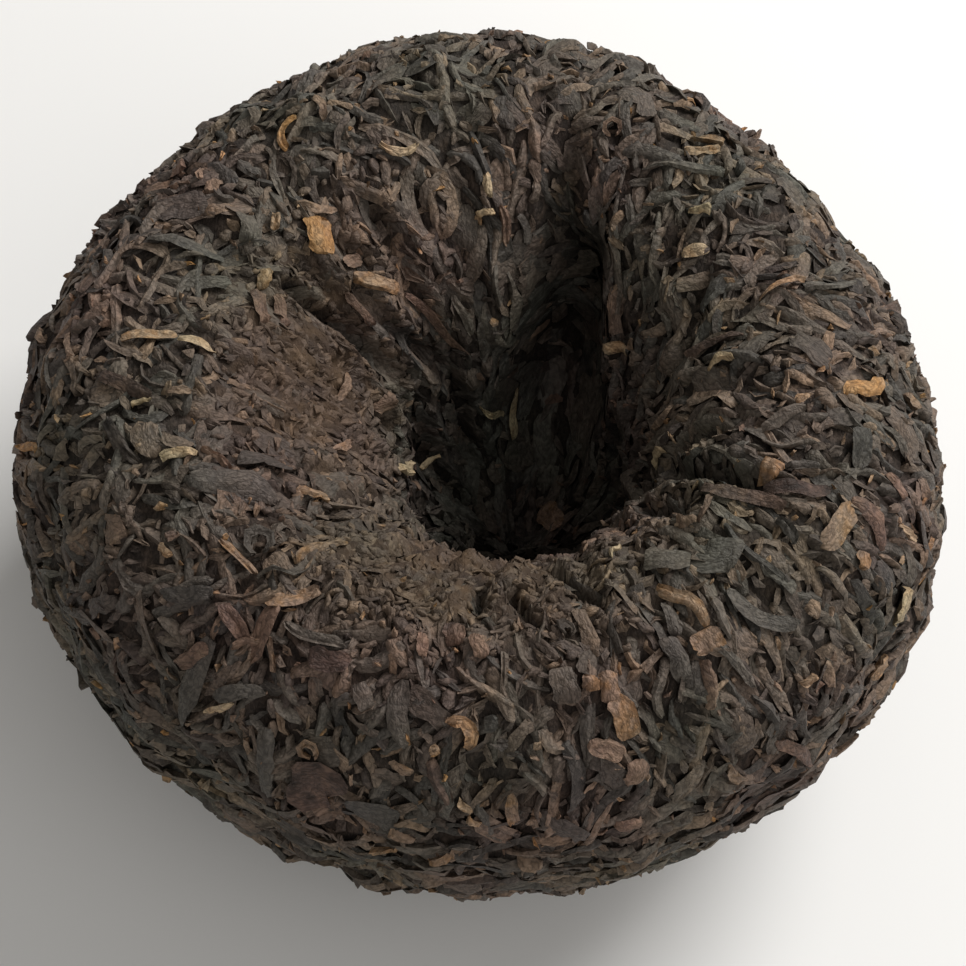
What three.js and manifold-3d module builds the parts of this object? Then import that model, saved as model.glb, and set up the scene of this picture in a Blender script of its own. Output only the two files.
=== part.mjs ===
// Pu-erh tuocha: a nest of pressed tea leaves, lying on its dome with the hollow up.
// Millimetres, +Z up. The origin is on the table, under the middle of the nest.
import * as THREE from "three";
import { mergeVertices } from "three/addons/utils/BufferGeometryUtils.js";
import Module from "manifold-3d";

// Section of the pressed nest through the backs of its leaves
const BELLY_RADIUS = 41; // widest ring
const BELLY_HEIGHT = 28;
const CREST_RADIUS = 27; // ring along the top of the rim
const CREST_HEIGHT = 46.8;
const NECK_RADIUS = 10.2; // where the hollow's wall stands upright
const NECK_HEIGHT = 28;
const FLOOR_HEIGHT = 13; // bottom of the hollow
const WALL_ROUNDNESS = 0.45; // of the hollow's wall from crest to neck: 0 is a straight funnel
const DOME_FLATTENED = 2; // how much of the dome's tip is pressed flat

// The knot of the pressing cloth made the hollow a little off the middle
const HOLLOW_SHIFT_X = 3.7;
const HOLLOW_SHIFT_Y = -3.2;

// Slow swells of the outline: waves round the nest, their height, and the angle of a peak in degrees
const OUTLINE_SWELLS = [
  { waves: 1, height: 0.65, peak: -68 },
  { waves: 2, height: 0.65, peak: -36 },
  { waves: 3, height: 0.65, peak: -37 },
  { waves: 4, height: 0.4, peak: -6 },
];

// Slow swells of the rim's height
const RIM_SWELLS = [
  { waves: 2, height: 0.35, peak: 20 },
  { waves: 3, height: 0.3, peak: 75 },
  { waves: 5, height: 0.25, peak: 118 },
];

// Grooves that the gathered cloth pressed into the hollow's wall: angle, depth, and width in degrees at the neck
const PLEATS = [
  { angle: 70, depth: 6, width: 22 },
  { angle: 121, depth: 1.4, width: 9 },
  { angle: 146, depth: 1.3, width: 9 },
  { angle: 22, depth: 0.8, width: 9 },
  { angle: -17, depth: 1.3, width: 7 },
  { angle: -29, depth: 1.6, width: 8 },
  { angle: -66, depth: 1, width: 8 },
  { angle: -88, depth: 0.8, width: 8 },
];
const PLEAT_NARROWING = 2; // power by which a groove narrows as the wall opens out

// Pressed leaves that cover the nest. They lie too close to be loose, so they are relief on the core.
const PRESSED_LEAVES = 430;
const PRESSED_LENGTH = [9, 15]; // least and most
const PRESSED_WIDTH = [3.2, 5.2];
const PRESSED_STEP = 1; // from the lowest leaf to the highest
const PRESSED_ROUND = 0.8; // from a leaf's back down to its edges
const CRACK_DEPTH = 1; // between leaves
const CORE_DETAIL = 21; // cuts along each edge of the twenty-sided ball that the core starts as

// The largest pieces lie on top of the others, with [least, most] sizes
const TOP_KINDS = [
  { count: 8, length: [11, 15], width: [1.3, 1.7], thickness: 1.6, taper: 0.85 }, // stems
  { count: 6, length: [6, 8], width: [3.8, 5], thickness: 1.5, taper: 0.6 }, // torn flakes
];
const TOP_SIDES = 5;
const TOP_STEPS = 3;
const TOP_LIFT = 0.2; // of a piece's middle above the core
const TOP_TWIST = 0.5; // largest turn from end to end, in radians
const TOP_CLEARANCE = 6; // above the table
const SEED = 20;

const TAU = 2 * Math.PI;

// A repeatable random number from 0 to 1 at each call
function seededRandom(seed) {
  let state = seed;
  return () => {
    state = (state + 0x6d2b79f5) | 0;
    let mixed = Math.imul(state ^ (state >>> 15), 1 | state);
    mixed = (mixed + Math.imul(mixed ^ (mixed >>> 7), 61 | mixed)) ^ mixed;
    return ((mixed ^ (mixed >>> 14)) >>> 0) / 2 ** 32;
  };
}

const random = seededRandom(SEED);
const between = ([least, most]) => least + (most - least) * random();

// The section as one path: dome, outside of the rim, wall of the hollow, floor of the hollow
function sectionPath() {
  const quarter = Math.PI / 2;
  const rimWidth = BELLY_RADIUS - CREST_RADIUS;
  const wallWidth = CREST_RADIUS - NECK_RADIUS;
  const wallHeight = CREST_HEIGHT - NECK_HEIGHT;
  const path = new THREE.Path();
  path.absellipse(0, BELLY_HEIGHT, BELLY_RADIUS, BELLY_HEIGHT + DOME_FLATTENED, -quarter, 0);
  path.absellipse(CREST_RADIUS, BELLY_HEIGHT, rimWidth, CREST_HEIGHT - BELLY_HEIGHT, 0, quarter);
  path.bezierCurveTo(
    CREST_RADIUS - WALL_ROUNDNESS * wallWidth,
    CREST_HEIGHT,
    NECK_RADIUS,
    NECK_HEIGHT + WALL_ROUNDNESS * wallHeight,
    NECK_RADIUS,
    NECK_HEIGHT,
  );
  path.absellipse(0, NECK_HEIGHT, NECK_RADIUS, NECK_HEIGHT - FLOOR_HEIGHT, 0, -quarter, true);
  return path;
}

const section = sectionPath();
const [domeEnd, crestAt, neckAt, sectionLength] = section.getCurveLengths();
const CREST_SHARE = crestAt / sectionLength;
const NECK_SHARE = neckAt / sectionLength;
const BELLY_SHARE = domeEnd / sectionLength;

// Height of a list of swells at an angle
function swell(list, angle) {
  const wave = ({ waves, height, peak }) =>
    height * Math.cos(waves * (angle - THREE.MathUtils.degToRad(peak)));
  return list.reduce((sum, item) => sum + wave(item), 0);
}

// Depth of the cloth's pleats at an angle and a radius
function pleatDepth(angle, radius) {
  const narrow = Math.min(1, NECK_RADIUS / radius) ** PLEAT_NARROWING;
  const groove = ({ angle: middle, depth, width }) => {
    const off = THREE.MathUtils.euclideanModulo(THREE.MathUtils.radToDeg(angle) - middle + 180, 360) - 180;
    return depth * Math.exp(-((off / (width * narrow)) ** 2));
  };
  return PLEATS.reduce((sum, item) => sum + groove(item), 0);
}

// A point of the core: share runs from the dome's tip (0) over the rim to the hollow's floor (1)
function corePoint(share, angle) {
  const { x: radius, y: height } = section.getPoint(share);
  const along = section.getTangent(share);
  const hollow = THREE.MathUtils.smoothstep(share, CREST_SHARE, NECK_SHARE);
  const rim = THREE.MathUtils.smoothstep(share, BELLY_SHARE, CREST_SHARE) * (1 - hollow);
  const nearAxis = Math.min(1, radius / NECK_RADIUS);

  const point = new THREE.Vector3();
  const outward = new THREE.Vector3(Math.cos(angle), Math.sin(angle), 0);
  const normal = outward.clone().multiplyScalar(along.y * nearAxis);
  normal.z = -along.x;

  const grown = radius * (1 + ((1 - hollow) * swell(OUTLINE_SWELLS, angle)) / BELLY_RADIUS);
  point.copy(outward).multiplyScalar(grown);
  point.x += HOLLOW_SHIFT_X * hollow;
  point.y += HOLLOW_SHIFT_Y * hollow;
  point.z = height + rim * swell(RIM_SWELLS, angle);

  const wallWeight = THREE.MathUtils.smoothstep(share, CREST_SHARE - 0.04, NECK_SHARE - 0.06);
  const groove = wallWeight * nearAxis * pleatDepth(angle, Math.max(radius, 1));
  return point.addScaledVector(normal, -groove);
}

// Where on the section a given share of the whole area has been passed
function areaTable(rows) {
  const sums = [0];
  for (let row = 0; row < rows; row++) {
    sums.push(sums[row] + section.getPoint((row + 0.5) / rows).x);
  }
  return (share) => {
    const wanted = share * sums[rows];
    const row = Math.max(1, sums.findIndex((sum) => sum >= wanted));
    return (row - 1 + (wanted - sums[row - 1]) / (sums[row] - sums[row - 1])) / rows;
  };
}

const shareOfArea = areaTable(400);

// Places spread evenly over the area, by a two-dimensional golden sequence
function* evenPlaces() {
  const plastic = 1.32471795724;
  for (let count = 1; ; count++) {
    const share = shareOfArea((count / plastic) % 1);
    const angle = TAU * ((count / plastic ** 2) % 1);
    yield { share, angle };
  }
}

// Leaves run down the hollow's wall, lie along the belly, and point anywhere between
function leafHeading(share) {
  const onWall = THREE.MathUtils.smoothstep(share, CREST_SHARE, NECK_SHARE);
  const onBelly = Math.exp(-(((share - BELLY_SHARE) / 0.08) ** 2));
  const anywhere = (random() - 0.5) * Math.PI;
  const calm = Math.max(onWall, onBelly);
  return (onBelly > onWall ? Math.PI / 2 : 0) + anywhere * (1 - 0.75 * calm);
}

// Directions at a place: along the leaf, across it, and up from the nest
function leafDirections(share, angle, heading) {
  const small = 0.002;
  const inside = THREE.MathUtils.clamp(share, small, 1 - small);
  const alongSection = corePoint(inside + small, angle).sub(corePoint(inside - small, angle)).normalize();
  const aroundNest = corePoint(inside, angle + small).sub(corePoint(inside, angle - small)).normalize();
  const up = new THREE.Vector3().crossVectors(aroundNest, alongSection).normalize();
  const forward = alongSection.clone().applyAxisAngle(up, heading);
  const across = new THREE.Vector3().crossVectors(forward, up).normalize();
  return { forward, across, up };
}

// The leaves that are pressed into the surface
function pressedLeaves() {
  const places = evenPlaces();
  return Array.from({ length: PRESSED_LEAVES }, () => {
    const { share, angle } = places.next().value;
    return {
      middle: corePoint(share, angle),
      ...leafDirections(share, angle, leafHeading(share)),
      halfLength: between(PRESSED_LENGTH) / 2,
      halfWidth: between(PRESSED_WIDTH) / 2,
      step: PRESSED_STEP * (random() - 0.5),
    };
  });
}

const leaves = pressedLeaves();

// How far the leaf at a point of the core stands out: high on its back, low in the crack beside it
function leafRelief(point) {
  let nearest = Infinity;
  let second = Infinity;
  let relief = 0;
  const offset = new THREE.Vector3();
  for (const leaf of leaves) {
    offset.subVectors(point, leaf.middle);
    const sideways = offset.dot(leaf.across) / leaf.halfWidth;
    const lengthways = offset.dot(leaf.forward) / leaf.halfLength;
    const away = Math.hypot(sideways, lengthways, offset.dot(leaf.up) / leaf.halfWidth);
    if (away < nearest) {
      second = nearest;
      nearest = away;
      relief = leaf.step - PRESSED_ROUND * Math.min(1, sideways ** 2);
    } else {
      second = Math.min(second, away);
    }
  }
  const inCrack = 1 - THREE.MathUtils.smoothstep(second - nearest, 0, 0.35);
  return relief - CRACK_DEPTH * inCrack;
}

// The core: a ball of even triangles, each point moved to the place with the same share of the area
function coreGeometry() {
  const geometry = new THREE.IcosahedronGeometry(1, CORE_DETAIL);
  const position = geometry.getAttribute("position");
  const onBall = new THREE.Vector3();
  for (let index = 0; index < position.count; index++) {
    onBall.fromBufferAttribute(position, index);
    const share = shareOfArea((1 + onBall.z) / 2);
    const angle = Math.atan2(onBall.y, onBall.x);
    const point = corePoint(share, angle);
    const { up } = leafDirections(share, angle, 0);
    point.addScaledVector(up, leafRelief(point));
    position.setXYZ(index, point.x, point.y, point.z);
  }
  return geometry;
}

// One loose piece: a thin prism bent along the core, thinner at its ends and slightly twisted
function topGeometry(kind, share, angle) {
  const length = between(kind.length);
  const width = between(kind.width);
  const twist = (random() - 0.5) * TOP_TWIST;
  const heading = leafHeading(share);
  const reach = Math.max(section.getPoint(share).x, NECK_RADIUS / 2);
  const { across, up } = leafDirections(share, angle, heading);
  const geometry = new THREE.CylinderGeometry(0.5, 0.5, 1, TOP_SIDES, TOP_STEPS);
  const position = geometry.getAttribute("position");
  const corner = new THREE.Vector3();
  for (let index = 0; index < position.count; index++) {
    corner.fromBufferAttribute(position, index);
    const ahead = corner.y * length;
    const thin = 1 - (1 - kind.taper) * (2 * corner.y) ** 2;
    const turn = twist * 2 * corner.y;
    const wide = corner.x * width * thin;
    const thick = corner.z * kind.thickness * thin;
    const shareThere = share + (Math.cos(heading) * ahead) / sectionLength;
    const angleThere = angle - (Math.sin(heading) * ahead) / reach;
    const placed = corePoint(THREE.MathUtils.clamp(shareThere, 0, 1), angleThere)
      .addScaledVector(across, wide * Math.cos(turn) - thick * Math.sin(turn))
      .addScaledVector(up, TOP_LIFT + wide * Math.sin(turn) + thick * Math.cos(turn));
    position.setXYZ(index, placed.x, placed.y, placed.z);
  }
  return geometry;
}

// All the loose pieces, each kind spread evenly, clear of the table
function topGeometries() {
  const places = evenPlaces();
  return TOP_KINDS.flatMap((kind) => {
    const pieces = [];
    while (pieces.length < kind.count) {
      const { share, angle } = places.next().value;
      if (section.getPoint(share).y > TOP_CLEARANCE) pieces.push(topGeometry(kind, share, angle));
    }
    return pieces;
  });
}

const wasm = await Module();
wasm.setup();

// A closed geometry as a solid, with shared points merged and collapsed triangles dropped
function solidOf(geometry) {
  geometry.deleteAttribute("normal");
  geometry.deleteAttribute("uv");
  const merged = mergeVertices(geometry, 1e-4);
  const corners = merged.index.array;
  const kept = [];
  for (let first = 0; first < corners.length; first += 3) {
    const [a, b, c] = corners.slice(first, first + 3);
    if (a !== b && b !== c && c !== a) kept.push(a, b, c);
  }
  return new wasm.Manifold(
    new wasm.Mesh({
      numProp: 3,
      vertProperties: merged.getAttribute("position").array,
      triVerts: new Uint32Array(kept),
    }),
  );
}

// The table takes off whatever of the dome would reach below it
function tableSlab() {
  const side = 4 * BELLY_RADIUS;
  const depth = BELLY_HEIGHT;
  return new THREE.BoxGeometry(side, side, depth).translate(0, 0, -depth / 2);
}

// The whole nest: core, loose pieces and flat spot as one skin
function nestGeometry() {
  const core = solidOf(coreGeometry());
  const pressed = topGeometries().reduce((nest, piece) => nest.add(solidOf(piece)), core);
  // The largest skin alone is the nest, with gaps sealed between leaves filled and loose scraps dropped
  const skins = pressed.subtract(solidOf(tableSlab())).decompose();
  const whole = skins.reduce((largest, skin) => (skin.volume() > largest.volume() ? skin : largest));
  const { vertProperties, triVerts } = whole.getMesh();
  const geometry = new THREE.BufferGeometry();
  geometry.setAttribute("position", new THREE.BufferAttribute(vertProperties, 3));
  geometry.setIndex(new THREE.BufferAttribute(triVerts, 1));
  geometry.computeVertexNormals();
  return geometry;
}

const teaLeaf = new THREE.MeshStandardMaterial({
  color: 0x40382f,
  roughness: 0.7,
  metalness: 0,
  flatShading: true,
});

const nest = new THREE.Mesh(nestGeometry(), teaLeaf);
nest.name = "pressed_nest";

const tuocha = new THREE.Group();
tuocha.name = "tuocha";
tuocha.add(nest);

export default tuocha;
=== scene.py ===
# %% [markdown]
# A tuocha is a small block of pu-erh tea. Steamed leaves are gathered in a cloth, the cloth is
# twisted shut, and the bundle is pressed into the form of a nest: a dome on one side and, where the
# knot was, a deep hollow on the other. The nest here lies on its dome. It could be one sculpted
# surface with a leaf pattern on it, but the photo shows thousands of separate strips. So this
# lesson lays real leaves over a dark core, and their edges make the cracks.

import math

import bpy
import numpy as np
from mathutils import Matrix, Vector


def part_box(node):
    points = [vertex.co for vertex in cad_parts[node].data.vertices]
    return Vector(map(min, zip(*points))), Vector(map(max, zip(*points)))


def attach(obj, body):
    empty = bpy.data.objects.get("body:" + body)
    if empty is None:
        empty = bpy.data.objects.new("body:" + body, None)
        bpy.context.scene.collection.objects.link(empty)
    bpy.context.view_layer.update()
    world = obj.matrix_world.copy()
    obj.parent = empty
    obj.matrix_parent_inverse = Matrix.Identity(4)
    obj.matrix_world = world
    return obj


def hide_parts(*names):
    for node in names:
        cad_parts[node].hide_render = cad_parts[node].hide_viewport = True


SEED = 20

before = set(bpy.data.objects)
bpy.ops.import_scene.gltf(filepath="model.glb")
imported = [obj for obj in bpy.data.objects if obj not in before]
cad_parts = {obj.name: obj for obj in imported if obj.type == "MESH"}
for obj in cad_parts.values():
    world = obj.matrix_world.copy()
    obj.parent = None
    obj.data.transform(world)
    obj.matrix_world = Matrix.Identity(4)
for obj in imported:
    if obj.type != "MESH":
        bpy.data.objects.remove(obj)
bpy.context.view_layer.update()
random = np.random.default_rng(SEED)

# %% [markdown]
# The solid gives the size. Lengths below are in millimetres of the nest, and one such millimetre is
# worked out from the solid's width, so that the leaves follow if the solid is made larger or
# smaller.

# %% Set the scale
NODE = "pressed_nest"
SOLID_WIDTH = 83.5  # as it was first built
node_low, node_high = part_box(NODE)
MM = (node_high.x - node_low.x) / SOLID_WIDTH
print("one millimetre of the nest is", MM, "m")

# %% [markdown]
# Cut through the middle, the nest shows a section that is turned round its axis: the dome, the
# outside of the rim, the wall of the hollow and the hollow's floor. Blender could spin a curve, but
# every leaf has to find its place on the section too. So it is kept as lists of radii and heights,
# three of its arcs as quarters of an ellipse and the wall as a Bezier curve. A share runs along it,
# from 0 at the dome's tip to 1 in the middle of the hollow's floor. A share and an angle round the
# nest are enough to place any leaf.

# %% Draw the arcs of the section
BELLY_RADIUS = 41.0  # widest ring
BELLY_HEIGHT = 28.0
CREST_RADIUS = 27.0  # ring along the top of the rim
CREST_HEIGHT = 46.8
NECK_RADIUS = 10.2  # where the hollow's wall stands upright
NECK_HEIGHT = 28.0
FLOOR_HEIGHT = 13.0  # bottom of the hollow
WALL_ROUNDNESS = 0.45  # of the wall from crest to neck: 0 is a straight funnel
DOME_FLATTENED = 2.0  # how much of the dome's tip is pressed flat
ARC_POINTS = 400


def quarter(middle, half_width, half_height, start, end):
    """Radii and heights along a quarter of an ellipse, between two angles in degrees."""
    turn = np.radians(np.linspace(start, end, ARC_POINTS))
    return middle[0] + half_width * np.cos(turn), middle[1] + half_height * np.sin(turn)


def funnel(start, end, roundness):
    """Radii and heights of a wall that leaves start level and reaches end upright."""
    t = np.linspace(0, 1, ARC_POINTS)[:, None]
    start, end = np.array(start), np.array(end)
    first = start + roundness * (end - start) * [1, 0]
    second = end + roundness * (start - end) * [0, 1]
    curve = start * (1 - t) ** 3 + 3 * first * t * (1 - t) ** 2 + 3 * second * t**2 * (1 - t) + end * t**3
    return curve.T


arcs = [
    quarter((0, BELLY_HEIGHT), BELLY_RADIUS, BELLY_HEIGHT + DOME_FLATTENED, -90, 0),
    quarter((CREST_RADIUS, BELLY_HEIGHT), BELLY_RADIUS - CREST_RADIUS, CREST_HEIGHT - BELLY_HEIGHT, 0, 90),
    funnel((CREST_RADIUS, CREST_HEIGHT), (NECK_RADIUS, NECK_HEIGHT), WALL_ROUNDNESS),
    quarter((0, NECK_HEIGHT), NECK_RADIUS, NECK_HEIGHT - FLOOR_HEIGHT, 0, -90),
]
print("the section has", len(arcs), "arcs")

# %% [markdown]
# The points of the arcs are not evenly spaced, but a leaf has to know how far along the section it
# lies. So the arcs are joined, the way along them is added up, and a radius and a height can be
# looked up by the share of that way.

# %% Join the arcs
section_radius = np.concatenate([arc[0] for arc in arcs])
section_height = np.concatenate([arc[1] for arc in arcs])
steps = np.hypot(np.diff(section_radius), np.diff(section_height))
passed = np.concatenate([[0], np.cumsum(steps)])
SECTION_LENGTH = passed[-1]
section_share = passed / SECTION_LENGTH
arc_ends = ARC_POINTS * np.arange(1, len(arcs)) - 1
BELLY_SHARE, CREST_SHARE, NECK_SHARE = section_share[arc_ends]


def radius_at(share):
    return np.interp(share, section_share, section_radius)


def height_at(share):
    return np.interp(share, section_share, section_height)


print("section of", round(SECTION_LENGTH, 1), "mm, rim's crest at share", round(CREST_SHARE, 3))

# %% [markdown]
# A pressed nest is never quite round. Its outline and the height of its rim swell in slow waves,
# and the hollow sits a little off the middle, because the knot did. A modifier could bend a
# finished mesh, but these few terms are the same ones that shape the solid, so the leaves lie
# where the solid is.

# %% Swell the outline and the rim
FRONT = math.radians(-90)  # the angle that faces the viewer
HOLLOW_SHIFT_X = 3.7
HOLLOW_SHIFT_Y = -3.2
# Waves round the nest, their height, and the angle of a peak in degrees
OUTLINE_SWELLS = [(1, 0.65, -68), (2, 0.65, -36), (3, 0.65, -37), (4, 0.4, -6)]
RIM_SWELLS = [(2, 0.35, 20), (3, 0.3, 75), (5, 0.25, 118)]


def swell(waves, angle):
    return sum(height * np.cos(count * (angle - math.radians(peak))) for count, height, peak in waves)


print("outline swells by", round(swell(OUTLINE_SWELLS, FRONT), 2), "mm at the front")

# %% [markdown]
# The gathered cloth leaves pleats in the hollow's wall. They could be sculpted by hand, but the
# leaves have to lie down in them. So they are the solid's own grooves again, with an angle, a depth
# and a width each, which narrow as the wall opens out.

# %% Press the pleats
# Angle, depth, and width in degrees at the neck
PLEATS = [
    (70, 6.0, 22),
    (121, 1.4, 9),
    (146, 1.3, 9),
    (22, 0.8, 9),
    (-17, 1.3, 7),
    (-29, 1.6, 8),
    (-66, 1.0, 8),
    (-88, 0.8, 8),
]
PLEAT_NARROWING = 2


def apart(angle, middle):
    """How far an angle lies from a middle given in degrees, in degrees, the short way round."""
    return (np.degrees(angle) - middle + 180) % 360 - 180


def pleat_depth(angle, radius):
    narrow = np.minimum(1, NECK_RADIUS / np.maximum(radius, 1)) ** PLEAT_NARROWING
    widths_off = [(depth, apart(angle, middle) / (width * narrow)) for middle, depth, width in PLEATS]
    return sum(depth * np.exp(-(off**2)) for depth, off in widths_off)


print("deepest pleat:", max(depth for _, depth, _ in PLEATS), "mm")

# %% [markdown]
# Sharp folds of the cloth also cut crevices between the leaves. The photo shows a dark gully at the
# back of the hollow, and thin ones on its left, on its right and over its front lip. They are too
# narrow for the solid, so they are made here: each follows a line of shares and angles down into
# the hollow, and its depth falls off to both sides.

# %% Cut the crevices
# Depth, half width, and the shares and angles that a crevice passes on its way down
CREVICES = {
    "gully": (3.8, 2.3, (0.72, 0.80, 0.90), (60, 71, 80)),
    "right_upper": (2.2, 0.6, (0.645, 0.70, 0.76), (-29, -30, -20)),
    "right_lower": (2.0, 0.5, (0.68, 0.735), (-41, -42)),
    "front_right": (2.2, 0.45, (0.65, 0.70), (-67, -73)),
    "front_middle": (2.2, 0.45, (0.645, 0.68), (-79, -84.5)),
    "front_left": (1.9, 0.4, (0.66, 0.69), (-90, -90.5)),
    "left_lower": (2.2, 0.55, (0.695, 0.72, 0.79), (153, 151.5, 145.5)),
    "left_upper": (2.2, 0.6, (0.73, 0.775, 0.825), (138.5, 134.5, 122)),
}
CREVICE_END = 0.01


def ease(value, start, end):
    """0 before start, 1 after end, and a smooth step between them."""
    part = np.clip((value - start) / (end - start), 0, 1)
    return part * part * (3 - 2 * part)


def crevice_depth(share, angle):
    total = 0
    for depth, half_width, shares, angles in CREVICES.values():
        aside = np.radians(apart(angle, np.interp(share, shares, angles))) * radius_at(share)
        begun = ease(share, shares[0] - CREVICE_END, shares[0] + CREVICE_END)
        ended = ease(share, shares[-1] - CREVICE_END, shares[-1] + CREVICE_END)
        total = total + depth * begun * (1 - ended) * np.exp(-((aside / half_width) ** 2))
    return total


print(len(CREVICES), "crevices, the deepest", max(depth for depth, *_ in CREVICES.values()), "mm")

# %% [markdown]
# The leaves were never stacked evenly, so the pressed surface has low lumps and dips a few
# millimetres across. A displacement texture could raise them, but every leaf has to follow them, so
# they are a sum of waves in random directions. Whole numbers of waves go round the nest, so that
# they meet without a seam.

# %% Raise the lumps
LUMPS = 16
LUMP_HEIGHT = 0.3
MOST_AROUND = 36  # waves round the nest
MOST_ALONG = 0.9  # radians of a wave in a millimetre
lump_around = random.integers(-MOST_AROUND, MOST_AROUND + 1, LUMPS)
lump_along = random.uniform(-MOST_ALONG, MOST_ALONG, LUMPS)
lump_start = random.uniform(0, 2 * np.pi, LUMPS)


def lumps(share, angle):
    waves = zip(lump_around, lump_along * SECTION_LENGTH, lump_start)
    total = sum(np.cos(around * angle + along * share + start) for around, along, start in waves)
    return LUMP_HEIGHT * total / math.sqrt(LUMPS / 2)


print(LUMPS, "waves, about", LUMP_HEIGHT, "mm high together")

# %% [markdown]
# One function puts all of this together. It takes a share, an angle and a lift off the surface, and
# gives a point. Everything that lies on the nest is placed by it.

# %% Put the surface together
SMALL_SHARE = 0.002
WALL_STARTS = CREST_SHARE - 0.04
WALL_ENDS = NECK_SHARE - 0.06


def on_wall(share):
    """How far a place has come from the rim down the hollow's wall, from 0 to 1."""
    return ease(share, WALL_STARTS, WALL_ENDS)


def surface(share, angle, lift=0.0):
    """Points at a share and an angle, lifted off the pressed surface, in millimetres."""
    share = np.clip(share, 0, 1)
    radius = radius_at(share)
    behind = np.clip(share - SMALL_SHARE, 0, 1)
    ahead = np.clip(share + SMALL_SHARE, 0, 1)
    run = radius_at(ahead) - radius_at(behind)
    rise = height_at(ahead) - height_at(behind)
    slant = np.hypot(run, rise)

    hollow = ease(share, CREST_SHARE, NECK_SHARE)
    rim = ease(share, BELLY_SHARE, CREST_SHARE) * (1 - hollow)
    near_axis = np.minimum(1, radius / NECK_RADIUS)
    folds = on_wall(share) * near_axis * pleat_depth(angle, radius) + crevice_depth(share, angle)
    out = lift + lumps(share, angle) - folds
    grown = radius * (1 + (1 - hollow) * swell(OUTLINE_SWELLS, angle) / BELLY_RADIUS)
    reach = grown + out * near_axis * rise / slant
    x = reach * np.cos(angle) + HOLLOW_SHIFT_X * hollow
    y = reach * np.sin(angle) + HOLLOW_SHIFT_Y * hollow
    z = height_at(share) + rim * swell(RIM_SWELLS, angle) - out * run / slant
    return np.stack([x, y, z], axis=-1)


print("rim's crest at the front:", surface(CREST_SHARE, FRONT).round(1), "mm")

# %% [markdown]
# The camera comes early, because some leaves are placed by the photo's pixels. The photo was taken
# from about a quarter of a metre away and 62 degrees up. A lens of about 106 mm on a 36 mm sensor
# gives the same small drop in size from front to back.

# %% Place the camera
PHOTO_PIXELS = 966
FOCAL_PIXELS = 2840
DISTANCE = 260.0
ELEVATION = math.radians(62)
AIM = np.array([0.6, -1.7, 25.1])
SENSOR = 36.0

camera_data = bpy.data.cameras.new("photo_camera")
camera_data.sensor_width = SENSOR
camera_data.lens = SENSOR * FOCAL_PIXELS / PHOTO_PIXELS
camera = bpy.data.objects.new("photo_camera", camera_data)
bpy.context.scene.collection.objects.link(camera)
bpy.context.scene.camera = camera
view_back = np.array([0, -math.cos(ELEVATION), math.sin(ELEVATION)])
view_up = np.array([0, math.sin(ELEVATION), math.cos(ELEVATION)])
eye = AIM + DISTANCE * view_back
camera.location = eye * MM
camera.rotation_euler = (math.pi / 2 - ELEVATION, 0, 0)
print("lens", round(camera_data.lens, 1), "mm, eye at", eye.round(1), "mm")

# %% [markdown]
# To find where a pixel lies on the nest, a ray could be cast at a mesh. Here the surface is a
# formula, so a fine net of its points is projected once, and the net's nearest point to the eye at
# a pixel is the one that shows there.

# %% Look up pixels on the nest
NET_ALONG = 700
NET_AROUND = 1400
NET_REACH = 4  # pixels round the one asked for

net_along = np.linspace(0, 1, NET_ALONG)
net_around = np.linspace(-math.pi, math.pi, NET_AROUND)
net_share, net_angle = np.meshgrid(net_along, net_around)
net = surface(net_share, net_angle) - eye
net_depth = -net @ view_back
net_column = PHOTO_PIXELS / 2 + FOCAL_PIXELS * net[..., 0] / net_depth
net_row = PHOTO_PIXELS / 2 - FOCAL_PIXELS * (net @ view_up) / net_depth


def place_at(column, row):
    """Share and angle of the point of the nest that shows at a pixel of the photo."""
    close = np.hypot(net_column - column, net_row - row) < NET_REACH
    nearest = np.argmin(np.where(close, net_depth, np.inf))
    return net_share.flat[nearest], net_angle.flat[nearest]


print("the photo's middle shows share and angle", place_at(PHOTO_PIXELS / 2, PHOTO_PIXELS / 2))

# %% [markdown]
# Thousands of leaves have to cover the nest without bald spots or heaps. Random places would clump,
# so their places come from a sequence that fills an area evenly, measured by area and not by share.

# %% Spread places evenly
PLASTIC_NUMBER = 1.32471795724
AREA_STEPS = 2000
area_share = np.linspace(0, 1, AREA_STEPS)
area_passed = np.cumsum(radius_at(area_share))
area_passed /= area_passed[-1]


def even_places(count, skip):
    """Shares and angles of places that are spread evenly over the area."""
    index = np.arange(count) + skip
    share = np.interp((index / PLASTIC_NUMBER) % 1, area_passed, area_share)
    return share, 2 * np.pi * ((index / PLASTIC_NUMBER**2) % 1) - np.pi


print("half of the area lies below share", round(np.interp(0.5, area_passed, area_share), 2))

# %% [markdown]
# The cloth rubbed hardest on the left slope of the hollow and on its front lip. There the leaves
# are broken small and the cracks are filled with brown dust. Deep in the hollow and in the crevices
# it rubbed nothing, and there the leaves' colour is darkened as painted shade, where the hollow and
# the crevices shade them. Two numbers from 0 to 1 say how much of each a place has.

# %% Say where the leaves are rubbed and where shade is painted on them
SHELTER_DEPTH = 1.4  # of a crevice that shelters its leaves fully
RUBBING_FADES = NECK_SHARE - 0.11
RUBBING_ENDS = NECK_SHARE + 0.01
PAINTED_SHADE_STARTS = CREST_SHARE + 0.11
PAINTED_SHADE_FULL = NECK_SHARE + 0.02
# Middle and width in degrees, strength, and the shares past the crest where the rubbing starts and is full
RUBBED_LEFT = (172, 44, 0.92, 0.005, 0.1)
RUBBED_FRONT = (-95, 40, 0.85, -0.05, 0.06)


def sheltered(share, angle):
    """How much a crevice shelters a place."""
    return np.minimum(1, crevice_depth(share, angle) / SHELTER_DEPTH)


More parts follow.
